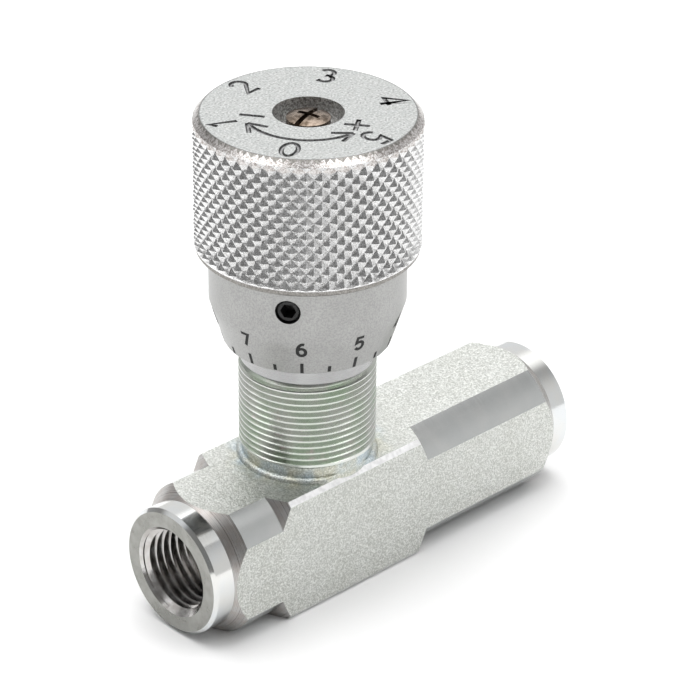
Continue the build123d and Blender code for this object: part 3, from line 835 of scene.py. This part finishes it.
def dress_knob(knob):
    """Give each region of the knob its own finish, by where the face is and which way it looks."""
    makers = [
        knurl_aluminium, satin_aluminium, chamfer_aluminium, land_aluminium,
        dial_aluminium, stamped_aluminium, stamp_floor_aluminium, recess_aluminium,
    ]
    knob.data.materials.clear()
    for maker in makers:
        knob.data.materials.append(maker())
    knurl, satin, top_chamfer, land, dial, stamp, stamp_floor, recess = range(len(makers))
    recess_radius = 5.05 * MM
    recess_foot = knob_top - 4 * MM
    stamp_foot = knob_top - STAMP_DEPTH
    dial_edge = knob_radius - KNOB_CHAMFER
    knurl_foot = land_top - KNURL_STEP_BELOW
    knurl_end = knob_top - 0.3 * MM
    knurl_root = knob_radius - 1 * MM
    chamfer_foot = knob_top - KNURL_FADE - KNOB_CHAMFER
    land_radius = SKIRT_RADIUS + 0.3 * MM
    for face in knob.data.polygons:
        centre, normal = face.center, face.normal
        from_neck = math.hypot(centre.x, centre.y)
        looks_up = normal.z > 0.99
        on_chamfer = abs(normal.z - math.sqrt(0.5)) < 0.02 or abs(normal.z) < 0.001
        if abs(centre.z - knob_top) < TOLERANCE and looks_up:
            region = dial
        elif from_neck < recess_radius + TOLERANCE and centre.z > recess_foot:
            region = recess
        elif centre.z > stamp_foot - TOLERANCE and from_neck < dial_edge - TOLERANCE:
            region = stamp_floor if looks_up else stamp
        elif knurl_foot < centre.z < knurl_end and from_neck > knurl_root:
            region = top_chamfer if on_chamfer and centre.z > chamfer_foot else knurl
        elif from_neck > land_radius and centre.z > cone_top:
            region = land
        else:
            region = satin
        face.material_index = region


# --- other materials --------------------------------------------------------------------------------
def plain_turned_steel(name, axis, level):
    g = Graph(name, anisotropic=0.4)
    lines = g.lathe(axis, 0.14 * MM)
    cloud = g.noise(4.0 * MM)
    colour = g.mottle(cloud, 0.4, 0.65, grey(level), grey(level + 0.06))
    rough = g.between(lines, 0.22, 0.32)
    return g.finish(colour, rough, g.bump(lines, 0.006 * MM), g.around(axis))


def ground_steel(name, axis):
    g = Graph(name, anisotropic=0.2)
    lines = g.lathe(axis, 0.08 * MM)
    cloud = g.noise(3.0 * MM)
    colour = g.mottle(cloud, 0.4, 0.65, (0.56, 0.57, 0.58, 1), (0.66, 0.66, 0.67, 1))
    return g.finish(colour, g.between(cloud, 0.16, 0.26), g.bump(lines, 0.003 * MM), g.around(axis))


def phosphated_steel():
    g = Graph("spring_steel_dark")
    grain = g.noise(0.15 * MM, 3.0)
    colour = g.mottle(grain, 0.35, 0.65, grey(0.16), grey(0.26))
    return g.finish(colour, g.between(grain, 0.42, 0.58), g.bump(grain, 0.008 * MM))


def drawn_wire():
    g = Graph("spring_wire_drawn")
    streak = g.noise(0.12 * MM, 3.0)
    colour = g.mottle(streak, 0.35, 0.65, grey(0.50), grey(0.64))
    return g.finish(colour, g.between(streak, 0.24, 0.36), g.bump(streak, 0.004 * MM))


def passivated_screw():
    """Yellow-brown passivated screw, mottled in darker patches."""
    g = Graph("screw_yellow")
    patch = g.noise(0.9 * MM, 3.0)
    fine = g.noise(0.15 * MM, 2.0)
    colour = g.mottle(patch, 0.38, 0.62, (0.09, 0.065, 0.045, 1), (0.30, 0.24, 0.195, 1))
    return g.finish(colour, g.between(fine, 0.20, 0.36), g.bump(fine, 0.010 * MM))


def blackened_screw():
    g = Graph("screw_black", metallic=0.6)
    grain = g.noise(0.2 * MM, 3.0)
    colour = g.mottle(grain, 0.4, 0.7, grey(0.02), grey(0.06))
    return g.finish(colour, g.between(grain, 0.34, 0.5), g.bump(grain, 0.008 * MM))


def turned_brass():
    g = Graph("pad_brass_turned")
    fine = g.noise(0.15 * MM, 3.0)
    colour = g.mottle(fine, 0.35, 0.65, (0.62, 0.46, 0.20, 1), (0.78, 0.62, 0.34, 1))
    return g.finish(colour, g.between(fine, 0.24, 0.38), g.bump(fine, 0.005 * MM))


def moulded_rubber():
    g = Graph("seal_rubber_moulded", metallic=0.0)
    grain = g.noise(0.2 * MM, 3.0)
    colour = g.mottle(grain, 0.35, 0.65, grey(0.012), grey(0.03))
    return g.finish(colour, g.between(grain, 0.55, 0.7), g.bump(grain, 0.006 * MM))


def white_ptfe():
    g = Graph("backup_ptfe", metallic=0.0)
    grain = g.noise(0.3 * MM, 2.0)
    colour = g.mottle(grain, 0.35, 0.65, grey(0.80, 0.01), grey(0.88, 0.01))
    return g.finish(colour, g.between(grain, 0.38, 0.5), g.bump(grain, 0.005 * MM))


def only_material(mesh, material):
    """Give the whole mesh one material."""
    mesh.materials.clear()
    mesh.materials.append(material)
    for face in mesh.polygons:
        face.material_index = 0


def dress_cad_nodes():
    """Materials of the CAD nodes that are shown as they are."""
    neck_steel = plain_turned_steel("steel_turned_neck", "neck", 0.36)
    port_steel = plain_turned_steel("steel_turned_port", "port", 0.72)
    neck_ground = ground_steel("steel_ground_neck", "neck")
    port_ground = ground_steel("steel_ground_port", "port")
    dark = phosphated_steel()
    rubber = moulded_rubber()
    ptfe = white_ptfe()
    finishes = {
        "bonnet": neck_steel,
        "adjusting_spindle": neck_steel,
        "spring_retainer": port_steel,
        "throttle_seat": neck_ground,
        "throttle_needle": neck_ground,
        "knob_drive_pin": neck_ground,
        "check_poppet": port_ground,
        "spindle_stop_ring": dark,
        "retainer_circlip": dark,
        "needle_swivel_ring": dark,
        "knob_lock_washer": dark,
        "bonnet_o_ring": rubber,
        "spindle_o_ring": rubber,
        "bonnet_backup_ring": ptfe,
        "spindle_backup_ring": ptfe,
        "knob_screw": passivated_screw(),
        "lock_set_screw": blackened_screw(),
        "lock_pad": turned_brass(),
    }
    for node, material in finishes.items():
        only_material(frame["nodes"][node].data, material)


# --- pieces -----------------------------------------------------------------------------------------
def smooth_but(piece, sharp_angle):
    """Smooth shading, but with an edge kept wherever faces meet at more than an angle in degrees."""
    piece.data.shade_smooth()
    piece.data.set_sharp_from_angle(angle=math.radians(sharp_angle))


body = threaded_body()
dress_body(body)
smooth_but(body, 24)
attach(body, "body_unit")
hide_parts("valve_body")

knob = knurled_knob()
dress_knob(knob)
smooth_but(knob, 20)
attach(knob, "knob_unit")
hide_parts("adjusting_knob")

marks = mesh_object("scale_print", *scale_marks())
marks.data.materials.append(scale_ink())
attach(marks, "knob_unit")

# The closing spring stands on the retainer; it is shown in the CAD spring's own shape, not pressed shorter.
spring = solid_copy("check_spring", "closing_spring")
only_material(spring.data, drawn_wire())
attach(spring, "body_unit")
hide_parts("check_spring")
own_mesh(spring)

dress_cad_nodes()

# --- floor and light ------------------------------------------------------------------------------------
FLOOR_HALF = 3.0
FLOOR_CLOUD = 0.4                            # size of the floor's faint mottling, metres
BASE_LEVEL = 0.22                            # strength of the surround where no patch lies
DARKEST_LEVEL = 0.04
WORLD_PATCHES = [                            # plan angle, height angle, half width, added level
    (46, 27, 66, 0.70),
    (60, 76, 42, 2.50),
    (290, 66, 25, 2.40),
    (150, 66, 27, 2.20),
    (132, 42, 28, 0.60),
    (322, 6, 50, 0.60),
    (226, 56, 26, -0.14),
]
CAMERA_AZIMUTH = -44.05                      # degrees of turn from a view along +Y
CAMERA_ELEVATION = 29.13
CAMERA_ROLL = 0.63
CAMERA_DISTANCE = 482.5 * MM
CAMERA_RIGHT = 6.12 * MM                     # how far the camera stands to the right of its aim
CAMERA_UP = 1.10 * MM
LENS = 172.3                                 # millimetres, on a sensor 36 mm wide
SENSOR_WIDTH = 36.0


def pale_floor():
    """Plain pale floor under the valve."""
    corners = [
        (-FLOOR_HALF, -FLOOR_HALF, 0),
        (FLOOR_HALF, -FLOOR_HALF, 0),
        (FLOOR_HALF, FLOOR_HALF, 0),
        (-FLOOR_HALF, FLOOR_HALF, 0),
    ]
    floor = mesh_object("floor", corners, [(0, 1, 2, 3)])
    g = Graph("floor_pale", metallic=0.0)
    cloud = g.noise(FLOOR_CLOUD)
    colour = g.blend(cloud, grey(0.86), grey(0.88))
    floor.data.materials.append(g.finish(colour, 0.9))


def towards(azimuth, elevation):
    """Unit vector from plan angle and height angle in degrees."""
    plan = math.radians(azimuth)
    height = math.radians(elevation)
    return Vector((math.cos(plan) * math.cos(height), math.sin(plan) * math.cos(height), math.sin(height)))


def studio_world():
    """Soft surround: a base level with broad lighter and darker patches."""
    world = bpy.data.worlds.new("studio")
    bpy.context.scene.world = world
    world.use_nodes = True
    tree = world.node_tree
    background = tree.nodes["Background"]
    direction = tree.nodes.new("ShaderNodeTexCoord").outputs["Generated"]
    level = None
    for azimuth, elevation, spread, gain in WORLD_PATCHES:
        dot = tree.nodes.new("ShaderNodeVectorMath")
        dot.operation = "DOT_PRODUCT"
        tree.links.new(direction, dot.inputs[0])
        dot.inputs[1].default_value = towards(azimuth, elevation)
        span = tree.nodes.new("ShaderNodeMapRange")
        span.interpolation_type = "SMOOTHSTEP"
        tree.links.new(dot.outputs["Value"], span.inputs[0])
        span.inputs[1].default_value = math.cos(math.radians(spread))
        span.inputs[2].default_value = 1.0
        span.inputs[3].default_value = 0.0
        span.inputs[4].default_value = gain
        total = tree.nodes.new("ShaderNodeMath")
        total.operation = "ADD"
        tree.links.new(span.outputs[0], total.inputs[0])
        if level is None:
            total.inputs[1].default_value = BASE_LEVEL
        else:
            tree.links.new(level, total.inputs[1])
        level = total.outputs[0]
    held = tree.nodes.new("ShaderNodeMath")
    held.operation = "MAXIMUM"
    tree.links.new(level, held.inputs[0])
    held.inputs[1].default_value = DARKEST_LEVEL
    tree.links.new(held.outputs[0], background.inputs["Strength"])
    background.inputs["Color"].default_value = (1, 1, 1, 1)


def softbox(name, azimuth, elevation, distance, size, power):
    """Square area light that looks at the middle of the valve."""
    light = bpy.data.lights.new(name, "AREA")
    light.shape = "SQUARE"
    light.size = size
    light.energy = power
    lamp = bpy.data.objects.new(name, light)
    bpy.context.scene.collection.objects.link(lamp)
    way = towards(azimuth, elevation)
    lamp.location = Vector((0, 0, neck_top)) + way * distance
    lamp.rotation_euler = way.to_track_quat("Z", "Y").to_euler()


def studio_camera():
    """Long lens that looks down on the short arm and the front side, as in the photograph."""
    azimuth = math.radians(CAMERA_AZIMUTH)
    elevation = math.radians(CAMERA_ELEVATION)
    roll = math.radians(CAMERA_ROLL)
    aim = Vector((0, 0, neck_top - 1.0 * MM))
    right = Vector((math.cos(azimuth), math.sin(azimuth), 0))
    back = Vector((math.sin(azimuth) * math.cos(elevation), -math.cos(azimuth) * math.cos(elevation),
                   math.sin(elevation)))
    up = back.cross(right)
    rolled_right = right * math.cos(roll) + up * math.sin(roll)
    rolled_up = up * math.cos(roll) - right * math.sin(roll)
    data = bpy.data.cameras.new("camera")
    data.sensor_width = SENSOR_WIDTH
    data.lens = LENS
    data.clip_start = 0.01
    data.clip_end = 20.0
    data.dof.use_dof = False
    camera = bpy.data.objects.new("camera", data)
    bpy.context.scene.collection.objects.link(camera)
    place = aim + rolled_right * CAMERA_RIGHT + rolled_up * CAMERA_UP + back * CAMERA_DISTANCE
    columns = Matrix((rolled_right, rolled_up, back)).transposed()
    camera.matrix_world = Matrix.Translation(place) @ columns.to_4x4()
    bpy.context.scene.camera = camera


pale_floor()
studio_world()
softbox("key_above", azimuth=292, elevation=70, distance=1.5, size=1.4, power=3.0)
studio_camera()
bpy.context.scene.view_settings.view_transform = "Standard"
